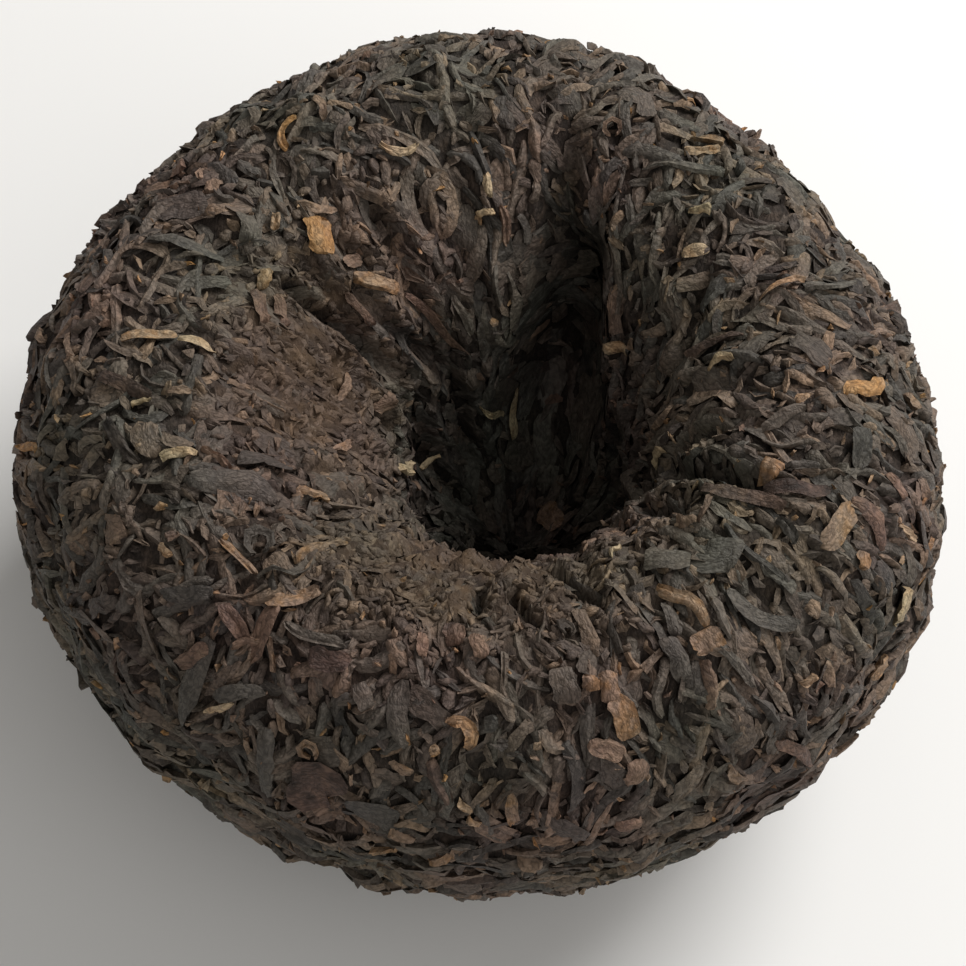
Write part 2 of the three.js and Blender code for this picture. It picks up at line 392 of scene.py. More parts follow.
def rubbed(share, angle):
    ended = ease(share, RUBBING_FADES, RUBBING_ENDS)
    most = 0
    for middle, width, strength, start, full in (RUBBED_LEFT, RUBBED_FRONT):
        begun = ease(share, CREST_SHARE + start, CREST_SHARE + full)
        most = np.maximum(most, strength * begun * np.exp(-((apart(angle, middle) / width) ** 2)))
    return most * (1 - ended) * (1 - sheltered(share, angle))


# Painted shade: how much the colour is darkened deep in the hollow and in the crevices.
def painted_shade_at(share, angle):
    return np.maximum(ease(share, PAINTED_SHADE_STARTS, PAINTED_SHADE_FULL), sheltered(share, angle))


print("rubbing ends", round((RUBBING_ENDS - CREST_SHARE) * SECTION_LENGTH), "mm in from the rim's crest")

# %% [markdown]
# Leaves do not lie the same way everywhere. Twisting the cloth drew them into lines that run down
# the hollow's wall and, at the front and on the right, over the rim too. The mould laid them along
# the belly. Elsewhere they point anywhere.

# %% Say which way the leaves run
COMBED_MIDDLE = -40
COMBED_WIDTH = 58
COMBING_STARTS = BELLY_SHARE + 0.03
COMBING_FULL = BELLY_SHARE + 0.1
BELLY_BAND = 0.055
CALMING = 0.78  # how much of the random turn the combing takes away


def heading(share, angle):
    """Direction of a leaf in its place: 0 runs along the section, a quarter turn runs round the nest."""
    combed = np.exp(-((apart(angle, COMBED_MIDDLE) / COMBED_WIDTH) ** 2))
    combed = combed * ease(share, COMBING_STARTS, COMBING_FULL)
    down = np.maximum(on_wall(share), combed)
    belly = np.exp(-(((share - BELLY_SHARE) / BELLY_BAND) ** 2))
    anywhere = random.uniform(-0.5, 0.5, share.shape) * np.pi
    return np.where(belly > down, np.pi / 2, 0) + anywhere * (1 - CALMING * np.maximum(down, belly))


print("leaves run along the belly within", round(BELLY_BAND * SECTION_LENGTH, 1), "mm of its widest ring")

# %% [markdown]
# One helper turns arrays into an object. A mesh of many leaves is far quicker to make from arrays
# of points and corners than leaf by leaf. Each point also carries a tint, which is the same over a
# whole leaf, a place in the leaf's own grain, and how rubbed it is. The materials read these, so
# one material can colour a thousand leaves. Faces meet smoothly up to a fold angle, and beyond it
# the leaf has a crisp edge.

# %% Make an object from arrays
BODY = "root"
LEAF_FOLD = math.radians(52)


def make_object(name, points, faces, corners, tint, grain, wear, material, fold):
    """A mesh object from points in millimetres, which follows the nest's body."""
    mesh = bpy.data.meshes.new(name)
    mesh.from_pydata(points * MM, [], faces)
    mesh.uv_layers.new(name="OFBake").data.foreach_set("uv", corners.astype(np.float32).ravel())
    for label, values in (("tint", tint), ("wear", wear)):
        numbers = mesh.attributes.new(label, "FLOAT", "POINT").data
        numbers.foreach_set("value", values.astype(np.float32).ravel())
    vectors = mesh.attributes.new("grain", "FLOAT_VECTOR", "POINT").data
    vectors.foreach_set("vector", grain.astype(np.float32).ravel())
    mesh.shade_smooth()
    mesh.set_sharp_from_angle(angle=fold)
    mesh.materials.append(material)
    made = bpy.data.objects.new(name, mesh)
    bpy.context.scene.collection.objects.link(made)
    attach(made, BODY)
    print(name, "has", 2 * len(faces), "triangles")
    return made


print("leaves have crisp edges beyond", round(math.degrees(LEAF_FOLD)), "degrees")

# %% [markdown]
# A leaf's finish is built from shader nodes. Writing each node out takes four lines, so a few
# helpers come first: one to feed a socket, and one for each of six kinds of node.

# %% Write helpers for shader nodes
NOISE_LOW, NOISE_HIGH = 0.3, 0.7  # noise mostly lies between these
MIX_AMOUNT, MIX_FIRST, MIX_SECOND, MIX_RESULT = 0, 6, 7, 2  # a mix node's sockets for colours


def feed(tree, value, socket):
    """Links another node's output to a socket, or sets the socket to a plain value."""
    if isinstance(value, bpy.types.NodeSocket):
        tree.links.new(value, socket)
    else:
        socket.default_value = value


def attribute(tree, label):
    node = tree.nodes.new("ShaderNodeAttribute")
    node.attribute_name = label
    return node


def noise(tree, vector, scale, detail):
    node = tree.nodes.new("ShaderNodeTexNoise")
    node.inputs["Scale"].default_value = scale
    node.inputs["Detail"].default_value = detail
    feed(tree, vector, node.inputs["Vector"])
    return node.outputs["Fac"]


def spread(tree, value, low, high, start=NOISE_LOW, end=NOISE_HIGH):
    """Moves a value from the range that noise mostly has to another range."""
    node = tree.nodes.new("ShaderNodeMapRange")
    for label, limit in (("From Min", start), ("From Max", end), ("To Min", low), ("To Max", high)):
        node.inputs[label].default_value = limit
    feed(tree, value, node.inputs["Value"])
    return node.outputs["Result"]


def calculate(tree, operation, first, second=0.0):
    node = tree.nodes.new("ShaderNodeMath")
    node.operation = operation
    feed(tree, first, node.inputs[0])
    feed(tree, second, node.inputs[1])
    return node.outputs["Value"]


def mix(tree, blend, amount, first, second):
    node = tree.nodes.new("ShaderNodeMix")
    node.data_type = "RGBA"
    node.blend_type = blend
    for value, socket in ((amount, MIX_AMOUNT), (first, MIX_FIRST), (second, MIX_SECOND)):
        feed(tree, value, node.inputs[socket])
    return node.outputs[MIX_RESULT]


def colour_ramp(tree, value, colours):
    """Colours by a value. Each is (place on the ramp, red, green, blue) in linear light."""
    node = tree.nodes.new("ShaderNodeValToRGB")
    stops = node.color_ramp.elements
    while len(stops) < len(colours):
        stops.new(0.5)
    for stop, (position, *colour) in zip(stops, colours):
        stop.position = position
        stop.color = (*colour, 1)
    feed(tree, value, node.inputs["Fac"])
    return node.outputs["Color"]


helpers = (attribute, noise, spread, calculate, mix, colour_ramp)
print("helpers for nodes:", *[helper.__name__ for helper in helpers])

# %% [markdown]
# A dry leaf is folded along its length. Seen close, the folds are sharp lines that run with its
# grain, and they lie in shade. Noise that is stretched along the grain passes its middle value
# along just such lines, so its distance from that value makes the creases. They serve twice: as
# painted shade along the seams in the colour and as a bump.

# %% Write the creases
GRAIN_STRETCH = (2.0, 1.1, 1.0)  # across the leaf, along it, and from leaf to leaf
CREASE_SCALE = 1.0
CREASE_DETAIL = 5.0
NOISE_MIDDLE = 0.5


def leaf_creases(tree):
    """0 along the creases of a leaf, and more between them."""
    stretched = tree.nodes.new("ShaderNodeMapping")
    stretched.inputs["Scale"].default_value = GRAIN_STRETCH
    feed(tree, attribute(tree, "grain").outputs["Vector"], stretched.inputs["Vector"])
    wrinkles = noise(tree, stretched.outputs["Vector"], CREASE_SCALE, CREASE_DETAIL)
    return calculate(tree, "ABSOLUTE", calculate(tree, "SUBTRACT", wrinkles, NOISE_MIDDLE))


across_leaf, along_leaf, _ = GRAIN_STRETCH
print("creases are", round(across_leaf / along_leaf, 1), "times as close across a leaf as along it")

# %% [markdown]
# Dry ripe tea is dark grey-brown and matt with a faint gloss. Its colour changes from leaf to leaf,
# mottles within one, and leans to olive in some places and to purple in others. A picture of tea
# leaves could be laid over the mesh, but a procedural material stays sharp and follows each leaf.
# The tint picks a colour from a ramp. Painted shade darkens it along the creases, and the crumples
# are lighter where they rise and darker in their dips, painted light and shade that follows the bump.
# Dust covers it where the cloth rubbed, ochre in some patches and brown in others.

# %% Write the leaf material
PER_METRE = 1 / (MM * 1000)
PATCH_SCALE = 85 * PER_METRE
DUST_SCALE = 360 * PER_METRE
MOTTLE_SCALE = 600 * PER_METRE
CRUMPLE_SCALE = 1900 * PER_METRE
PATCH_DETAIL, DUST_DETAIL, MOTTLE_DETAIL, CRUMPLE_DETAIL = 1.0, 2.0, 3.0, 4.0
MOTTLING = 0.1  # how far the tint wanders within a leaf
SEAM_WIDTH = 0.07
SEAM_SHADE, BESIDE_SEAMS = 0.62, 1.08
CRUMPLE_DARK, CRUMPLE_LIGHT = 0.72, 1.3
THIN_DUST = 0.5  # part of the dust that lies where it is thinnest
OLIVE_TONE = (0.95, 1.0, 0.92, 1.0)
PURPLE_TONE = (1.1, 0.95, 0.95, 1.0)
OCHRE_DUST = (0.107, 0.066, 0.035, 1.0)
BROWN_DUST = (0.046, 0.029, 0.021, 1.0)
LEAF_GLOSS = 0.2
SMOOTHER, ROUGHER = 0.08, 0.12
BUMP_HEIGHT = 0.3 * MM
CREASE_BUMP, CRUMPLE_BUMP = 2.0, 0.5


def leaf_material(name, colours, roughness, dust=0.85):
    """A material for one kind of leaf, with the colours of its ramp."""
    material = bpy.data.materials.new(name)
    material.use_nodes = True
    tree = material.node_tree
    shader = tree.nodes["Principled BSDF"]
    shader.inputs["Specular IOR Level"].default_value = LEAF_GLOSS
    place = tree.nodes.new("ShaderNodeTexCoord").outputs["Object"]
    mottle = noise(tree, place, MOTTLE_SCALE, MOTTLE_DETAIL)
    crumple = noise(tree, place, CRUMPLE_SCALE, CRUMPLE_DETAIL)
    creases = leaf_creases(tree)

    wander = spread(tree, mottle, -MOTTLING, MOTTLING)
    wandering = calculate(tree, "ADD", attribute(tree, "tint").outputs["Fac"], wander)
    clean = colour_ramp(tree, wandering, colours)
    # Painted shade: darker along the creases, and lighter where the crumples rise, as the bump does.
    painted_seam_shade = spread(tree, creases, SEAM_SHADE, BESIDE_SEAMS, start=0.0, end=SEAM_WIDTH)
    shade = calculate(tree, "MULTIPLY", painted_seam_shade, spread(tree, crumple, CRUMPLE_DARK, CRUMPLE_LIGHT))
    shaded = mix(tree, "MULTIPLY", 1.0, clean, shade)
    lean = spread(tree, noise(tree, place, PATCH_SCALE, PATCH_DETAIL), 0.0, 1.0)
    toned = mix(tree, "MULTIPLY", 1.0, shaded, mix(tree, "MIX", lean, OLIVE_TONE, PURPLE_TONE))
    dusty = spread(tree, mottle, THIN_DUST * dust, dust)
    dusty = calculate(tree, "MULTIPLY", attribute(tree, "wear").outputs["Fac"], dusty)
    dust_patches = spread(tree, noise(tree, place, DUST_SCALE, DUST_DETAIL), 0.0, 1.0)
    dust_colour = mix(tree, "MIX", dust_patches, OCHRE_DUST, BROWN_DUST)
    feed(tree, mix(tree, "MIX", dusty, toned, dust_colour), shader.inputs["Base Color"])
    matt = spread(tree, mottle, roughness - SMOOTHER, roughness + ROUGHER)
    feed(tree, matt, shader.inputs["Roughness"])

    fine = calculate(tree, "MULTIPLY", crumple, CRUMPLE_BUMP)
    bump = tree.nodes.new("ShaderNodeBump")
    bump.inputs["Distance"].default_value = BUMP_HEIGHT
    coarse = calculate(tree, "MULTIPLY", creases, CREASE_BUMP)
    feed(tree, calculate(tree, "ADD", coarse, fine), bump.inputs["Height"])
    feed(tree, bump.outputs["Normal"], shader.inputs["Normal"])
    print("material", name, "with", len(tree.nodes), "nodes")
    return material


print("mottles are about", round(1 / (MOTTLE_SCALE * MM), 1), "mm wide")

# %% [markdown]
# The core is what shows in the cracks: a bed of dust and crumbs a little below the leaves. It could
# be black paint, but light reaches some cracks, so it has a brown of its own and a low relief of
# crumbs. It comes up between the leaves where the cloth rubbed, and it stands in for the solid,
# which is hidden from here on.

# %% Shape the core
CORE_AROUND = 320
CORE_ALONG = 150
CORE_DEPTH = 0.76
CORE_RISE = 0.68  # of the dust where the cloth rubbed
CORE_CRUMBS = 0.1
TABLE_GAP = 0.02

core_along = np.linspace(0, 1, CORE_ALONG + 1)
core_around = np.linspace(-np.pi, np.pi, CORE_AROUND + 1)[:-1]
core_share, core_angle = np.meshgrid(core_along, core_around)
core_wear = rubbed(core_share, core_angle)
crumbs = random.normal(0, 1, core_share.shape)
crumbs = crumbs + np.roll(crumbs, 1, axis=0) + np.roll(crumbs, 1, axis=1)
crumbs[:, [0, -1]] = 0
core_lift = CORE_CRUMBS * crumbs - CORE_DEPTH + CORE_RISE * core_wear
core_points = surface(core_share, core_angle, core_lift)
core_points[..., 2] = np.maximum(core_points[..., 2], TABLE_GAP)
print("the core reaches", core_points[..., 2].max().round(1), "mm up")

# %% [markdown]
# The core's points are the knots of a net that closes on itself round the nest. A modifier could
# turn the section into such a net, but here every knot has a place of its own, so the squares are
# numbered row by row. The tint changes at random from knot to knot, as dust does, and is darkened
# deep in the hollow and in the crevices, as painted shade.

# %% Make the core
# Places on the ramp, each with its red, green and blue in linear light
core_colours = [(0.0, 0.016, 0.013, 0.011), (0.5, 0.036, 0.029, 0.024), (1.0, 0.08, 0.06, 0.046)]
core_material = leaf_material("tea_dust", core_colours, roughness=0.85, dust=0.9)
CORE_TINT = (0.2, 0.8)
# Painted shade: the tint is darkened deep in the hollow and in the crevices, where they shade the leaves.
PAINTED_SHADE_STRENGTH = 0.6  # how much darker the tint is deep in the hollow and the crevices

row, column = np.mgrid[0:CORE_AROUND, 0:CORE_ALONG]
square = [(0, 0), (1, 0), (1, 1), (0, 1)]
core_faces = np.stack(
    [(row + turn) % CORE_AROUND * (CORE_ALONG + 1) + column + along for turn, along in square], axis=-1
).reshape(-1, 4)
core_corners = np.stack(
    [[(row + turn) / CORE_AROUND, (column + along) / CORE_ALONG] for turn, along in square], axis=-1
)
core_corners = np.moveaxis(core_corners, 0, -1)
core_painted_shade = painted_shade_at(core_share, core_angle)
core_tint = random.uniform(*CORE_TINT, core_share.shape) * (1 - PAINTED_SHADE_STRENGTH * core_painted_shade)
core = make_object(
    "tea_core",
    core_points.reshape(-1, 3),
    core_faces,
    core_corners,
    core_tint,
    core_points,
    core_wear,
    core_material,
    LEAF_FOLD,
)
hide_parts(NODE)

# %% [markdown]
# A pressed leaf is a strip or flake with a ragged outline. All leaves of a kind are worked out at
# once, as arrays with one row for each leaf. Every leaf is a chain of rings along a centre line
# that bends and wanders a little, and a ring has six points: five over the leaf's back, from edge
# to edge, and one below.

# %% Bend the leaves' centre lines
ACROSS = np.array([-1.0, -0.5, 0.0, 0.5, 1.0, 0.0])
IS_BACK = np.array([1, 1, 1, 1, 1, 0], bool)
RING_SPACING = 0.45  # in half turns: the rings stand closer towards a leaf's ends
WANDER = 0.3
WANDER_WAVES = (2.0, 4.5)


def stretch(values):
    """One number for each leaf, ready to meet arrays of rings and points."""
    return np.asarray(values)[:, None, None]


def draw(sizes, count):
    """One number for each leaf: random between a least and a most, or as given."""
    return stretch(random.uniform(*sizes, count) if len(sizes) == 2 else sizes)


def about_zero(spread_of, *shape):
    return random.normal(0, spread_of, shape)


def centre_line(length, bend, rings):
    """Places of the rings, their way ahead and aside of the leaf's middle, and the leaf's turn there."""
    count = len(length)
    t = np.sin(np.linspace(-RING_SPACING, RING_SPACING, rings) * np.pi)
    t = (t / t[-1])[None, :, None]
    waves = draw(WANDER_WAVES, count)
    wander = about_zero(WANDER, count, 1, 1) / (1 + np.abs(bend))
    turn = bend * t / 2 + wander * np.sin(waves * t + draw((0, 2 * np.pi), count))
    step = np.diff(t, axis=1) * length / 2
    halfway = (turn[:, 1:] + turn[:, :-1]) / 2
    start = np.zeros((count, 1, 1))
    ahead = np.concatenate([start, np.cumsum(step * np.cos(halfway), axis=1)], axis=1)
    aside = np.concatenate([start, np.cumsum(step * np.sin(halfway), axis=1)], axis=1)
    return t, ahead - ahead.mean(axis=1, keepdims=True), aside - aside.mean(axis=1, keepdims=True), turn


print("a leaf's ring has", len(ACROSS), "points")

# %% [markdown]
# The points of a leaf are first laid out flat and then bent onto the nest: so far along the
# section, so far round. Close to the axis the rings of the nest are small and that would twist a
# leaf, so there its points are turned back to an angle and a radius instead.

# %% Bend leaves onto the nest
NEAR_AXIS = 8.0


def bend_onto(share, angle, along, around):
    """Share and angle of a point that lies some way along and around from a leaf's middle."""
    straight = np.clip(share + along / SECTION_LENGTH, 0, 1)
    turned = angle + around / np.maximum(radius_at(straight), NEAR_AXIS / 2)
    inward = np.where(share > NECK_SHARE, -1, 1)
    outward = radius_at(share) + inward * along
    flat_radius = np.hypot(outward, around)
    flat_share = np.clip(share + inward * (flat_radius - radius_at(share)) / SECTION_LENGTH, 0, 1)
    flat_angle = angle + np.arctan2(around, outward)
    on_axis = radius_at(share) < NEAR_AXIS
    return np.where(on_axis, flat_share, straight), np.where(on_axis, flat_angle, turned)


print("leaves within", NEAR_AXIS, "mm of the axis are turned back")

# %% [markdown]
# The press pushed the back of each leaf level with its neighbours. So a leaf may tilt, roll and
# ripple as it likes, but whatever would stand out of the pressed surface is squeezed down to it,
# with a soft knee. A few leaves are allowed to lift one end.

# %% Press the leaves
EDGE = np.array([1.0, 0.25, 0.0, 0.25, 1.0, 0.0])  # how far each point of a ring drops with a round edge
END_DROP = 0.5
TILT = 0.16
LIFTED_TILT = 0.7
ROLL = 0.15
TWIST = 0.2
RIPPLE = 0.08
PLAY = (0, 0.2)
SOFTNESS = 0.06


def press(level, thickness, round_edge, lifted, t, end):
    """How high each point of each leaf lies over the nest's surface."""
    count, rings = end.shape[:2]
    points = len(ACROSS)
    tilt = about_zero(TILT, count, 1, 1)
    tilt = tilt + np.where(random.random((count, 1, 1)) < lifted, LIFTED_TILT, 0)
    roll = about_zero(ROLL, count, 1, 1) + about_zero(TWIST, count, 1, 1) * t
    ripple = about_zero(RIPPLE, count, rings, 1)
    ripple = ripple + about_zero(RIPPLE, count, rings, points) + about_zero(RIPPLE, count, 1, points)
    drop = thickness * (draw(round_edge, count) * EDGE + END_DROP * end)
    back = level - drop + tilt * t + roll * ACROSS + ripple
    cap = level + draw(PLAY, count) + np.abs(tilt) / 2
    pressed = cap - SOFTNESS * np.logaddexp(0, (cap - back) / SOFTNESS)
    return np.where(IS_BACK, pressed, level - thickness)


print("a leaf has", PLAY[1], "mm of play, and a lifted one", LIFTED_TILT / 2, "mm more")

# %% [markdown]
# The faces of a leaf join its rings, and two more close each end. For baking, every leaf gets a
# cell of its own on one sheet.

# %% Number the faces
CAPS = [(0, 1, 2, 5), (2, 3, 4, 5)]
CELL_MARGIN = 0.06
CELL_TALLNESS = 1.5
RINGS = 7  # of most leaves


def leaf_faces(count, rings):
    """Corners of the faces of all leaves, and their places on the sheet."""
    around = len(ACROSS)
    faces, places = [], []
    for ring in range(rings - 1):
        for point in range(around):
            follow = (point + 1) % around
            ends = [(point, ring), (follow, ring), (follow, ring + 1), (point, ring + 1)]
            faces.append([at_ring * around + at_point for at_point, at_ring in ends])
            places.append([(point, ring), (point + 1, ring), (point + 1, ring + 1), (point, ring + 1)])
    for cap in CAPS:
        for ring, corners in ((0, cap[::-1]), (rings - 1, cap)):
            faces.append([ring * around + corner for corner in corners])
            places.append([(corner, ring) for corner in corners])
    columns = math.ceil(math.sqrt(CELL_TALLNESS * count))
    index = np.arange(count)
    cell = np.stack([index % columns, index // columns], axis=-1)
    in_cell = CELL_MARGIN + (1 - 2 * CELL_MARGIN) * np.array(places) / [around, rings - 1]
    sheet = (cell[:, None, None, :] + in_cell[None]) / [columns, math.ceil(count / columns)]
    return (np.array(faces)[None] + index[:, None, None] * around * rings).reshape(-1, 4), sheet


print("a leaf of", RINGS, "rings has", 2 * len(leaf_faces(1, RINGS)[0]), "triangles")

# %% [markdown]
# Now one function can lay a whole kind of leaf. A particle system could scatter copies of a few
# leaves, but on the real nest no two are alike, and here every leaf gets its own size, bend and
# torn edge. Sizes are a least and a most, or one number for each leaf.

# %% Lay leaves on the nest
END_POWER = (3, 8)  # how suddenly a leaf ends
END_NARROWING = (0.2, 0.75)
RAGGED_PAIRS = 0.13  # both edges of a ring together
RAGGED_EDGES = 0.1
MOST_TORN = 0.5
LEAF_APART = 7.3  # between the grains of two leaves


def lay_leaves(
    name,
    material,
    place,
    direction,
    length,
    breadth,
    thickness,
    level,
    bend,
    round_edge,
    lifted=0.012,
    rings=RINGS,
    tint=(0.12, 1),
    sunk=0.4,
    painted_shade=PAINTED_SHADE_STRENGTH,
    fold=LEAF_FOLD,
    ragged=1.0,
):
    """Leaves of one kind, in millimetres and radians, as one object."""
    share, angle = stretch(place[0]), stretch(place[1])
    count = len(place[0])
    length, breadth, thickness = draw(length, count), draw(breadth, count), draw(thickness, count)
    bend = about_zero(bend, count, 1, 1) if np.isscalar(bend) else stretch(bend)
    t, ahead, aside, turn = centre_line(length, bend, rings)
    end = np.abs(t) ** draw(END_POWER, count)
    torn = about_zero(RAGGED_PAIRS, count, rings, 1) + about_zero(RAGGED_EDGES, count, rings, len(ACROSS))
    narrowed = 1 - draw(END_NARROWING, count) * end
    half = breadth / 2 * narrowed * np.clip(1 + ragged * torn, 1 - MOST_TORN, 1 + MOST_TORN)
    ahead = ahead - ACROSS * half * np.sin(turn)
    aside = aside + ACROSS * half * np.cos(turn)
    cos, sin = np.cos(stretch(direction)), np.sin(stretch(direction))
    share_there, angle_there = bend_onto(share, angle, ahead * cos - aside * sin, ahead * sin + aside * cos)

    wear = rubbed(share, angle)
    lift = press(draw(level, count) - sunk * wear, thickness, round_edge, lifted, t, end)
    points = surface(share_there, angle_there, lift)
    points[..., 2] = np.maximum(points[..., 2], TABLE_GAP)
    whole = np.ones_like(lift)
    grain = [ACROSS * half, t * length / 2 * whole, stretch(np.arange(count) * LEAF_APART) * whole]
    # Painted shade: leaves deep in the hollow and in the crevices get a darker tint.
    tint = draw(tint, count) * (1 - painted_shade * painted_shade_at(share, angle)) * whole
    faces, sheet = leaf_faces(count, rings)
    points, grain, wear = points.reshape(-1, 3), np.stack(grain, axis=-1), wear * whole
    make_object(name, points, faces, sheet, tint, grain, wear, material, fold)


print("edges are torn by up to", MOST_TORN, "of a leaf's half width")

# %% [markdown]
# Broad flakes lie lowest. They are torn leaves, pressed flat, and show as dull dark patches between
# the strips. They could be stains on the core, but a stain has no edge that catches light. Four
# kinds of leaf follow the way that leaves run, so a helper for these comes first.

# %% Lay the broad flakes
FLAKES = 800
flake_colours = [
    (0.0, 0.018, 0.016, 0.015),
    (0.12, 0.056, 0.049, 0.043),
    (0.45, 0.082, 0.071, 0.058),
    (0.8, 0.110, 0.088, 0.071),
    (1.0, 0.157, 0.116, 0.085),
]
flake_material = leaf_material("broad_leaf", flake_colours, roughness=0.6)


def lay_combed(name, material, count, skip, **sizes):
    """Leaves that are spread evenly and run the way that leaves run there."""
    places = even_places(count, skip)
    lay_leaves(name, material, places, heading(*places), **sizes)


lay_combed(
    "broad_flakes",
    flake_material,
    FLAKES,
    skip=11,
    length=(2.5, 5.5),
    breadth=(1.4, 2.8),
    thickness=(0.4, 0.7),
    level=(-0.55, 0.0),
    bend=0.5,
    round_edge=(-0.3, 0.5),
)

# %% [markdown]
# Long strips are whole leaves, rolled before they were pressed. They give the nest its texture.
# Curves with a round profile could stand for them, but the press left them flat on top and torn at
# the edges. So they are laid like the flakes, only longer, narrower and thicker.

# %% Lay the long strips
LONG_STRIPS = 900
strip_colours = [
    (0.0, 0.018, 0.017, 0.016),
    (0.12, 0.056, 0.052, 0.046),
    (0.35, 0.078, 0.072, 0.062),
    (0.6, 0.103, 0.092, 0.076),
    (0.85, 0.128, 0.106, 0.084),
    (1.0, 0.174, 0.131, 0.094),
]
strip_material = leaf_material("rolled_leaf", strip_colours, roughness=0.58)
lay_combed(
    "long_strips",
    strip_material,
    LONG_STRIPS,
    skip=1500,
    length=(4.5, 9),
    breadth=(0.7, 1.35),
    thickness=(0.6, 0.9),
    level=(-0.4, 0.15),
    bend=0.9,
    round_edge=(0.1, 0.8),
    rings=8,
)

# %% [markdown]
# Short strips are the same leaves broken up, and they cover most of the nest. One material could
# colour them all, but grey and brown leaves lie side by side on the photo. So they come as two
# pieces, a darker and a browner one.

# %% Lay the short strips
SHORT_STRIPS = 2300
brown_colours = [
    (0.0, 0.020, 0.017, 0.015),
    (0.12, 0.063, 0.052, 0.045),
    (0.5, 0.101, 0.081, 0.065),
    (0.85, 0.140, 0.108, 0.081),
    (1.0, 0.207, 0.151, 0.103),
]
brown_material = leaf_material("brown_leaf", brown_colours, roughness=0.64)
short_kinds = [("dark_strips", strip_material, 3000), ("brown_strips", brown_material, 6000)]
for name, material, skip in short_kinds:
    lay_combed(
        name,
        material,
        SHORT_STRIPS,
        skip,
        length=(1.8, 5.2),
        breadth=(0.5, 1.25),
        thickness=(0.6, 0.9),
        level=(-0.45, 0.15),
        bend=1.0,
        round_edge=(0.1, 0.8),
    )

# %% [markdown]
# Crumbs fill the cracks between the strips. A rough bump on the core could stand for them, but real
# pieces hide each other and cast shadows. They point anywhere, and three rings are enough for such
# small pieces.

# %% Lay the crumbs
CRUMBS = 5000
CRUMB_RINGS = 3


def any_direction(count):
    return random.uniform(0, np.pi, count)


lay_leaves(
    "leaf_crumbs",
    brown_material,
    even_places(CRUMBS, skip=9000),
    any_direction(CRUMBS),
    length=(0.8, 2.2),
    breadth=(0.4, 1.0),
    thickness=(0.3, 0.5),
    level=(-0.55, 0.1),
    bend=0.8,
    round_edge=(-0.2, 0.8),
    rings=CRUMB_RINGS,
)

# %% [markdown]
# Where the cloth rubbed, the leaves are ground to rounded grit that lies on top of them. It could
# be a coarser bump on the dust, but from the side it has to stand out. Its places are drawn from a
# denser even spread, and each is kept with the chance that the rubbing gives it.

# %% Lay the grit
GRIT_TRIED = 60000
GRIT_MOST = 5000
GRIT_FOLD = math.radians(110)
grit_share, grit_angle = even_places(GRIT_TRIED, skip=30000)
kept = random.random(GRIT_TRIED) < rubbed(grit_share, grit_angle)
grit_places = grit_share[kept][:GRIT_MOST], grit_angle[kept][:GRIT_MOST]
lay_leaves(
    "leaf_grit",
    brown_material,
    grit_places,
    any_direction(len(grit_places[0])),
    length=(0.6, 1.9),
    breadth=(0.5, 1.2),
    thickness=(0.35, 0.6),
    level=(-0.16, 0.12),
    bend=0.8,
    round_edge=(0.35, 1),
    rings=CRUMB_RINGS,
    sunk=0.05,
    fold=GRIT_FOLD,
)

# %% [markdown]
# Flecks are pale specks of broken bud and stem, finer than the crumbs. Spots in the leaf material
# would be cut off at the edge of every leaf, so they are small leaves of their own. They are few,
# but they catch the eye.

# %% Lay the flecks
FLECKS = 1000
pale_colours = [
    (0.0, 0.030, 0.021, 0.016),
    (0.12, 0.075, 0.052, 0.042),
    (0.28, 0.140, 0.094, 0.068),
    (0.45, 0.205, 0.148, 0.104),
    (0.53, 0.220, 0.132, 0.066),
    (0.6, 0.270, 0.198, 0.132),
    (0.75, 0.335, 0.185, 0.072),
    (1.0, 0.340, 0.270, 0.175),
]
pale_material = leaf_material("pale_leaf", pale_colours, roughness=0.6, dust=0.3)
lay_leaves(
    "pale_flecks",
    pale_material,
    even_places(FLECKS, skip=15000),
    any_direction(FLECKS),
    length=(0.4, 1.3),
    breadth=(0.25, 0.6),
    thickness=(0.25, 0.4),
    level=(-0.15, 0.15),
    bend=0.6,
    round_edge=(0.3, 0.9),
    tint=(0.25, 0.75),
    rings=CRUMB_RINGS,
)

# %% [markdown]
# Some leaves on the photo are landmarks: golden buds, tan stems, curls and torn flakes. Each is
# named here with its tint, its width in pixels, its bend in degrees, and the pixels of the photo
# where it starts and ends. They are looked up on the nest and laid on top of the other leaves, so
# they lie on it from every side.

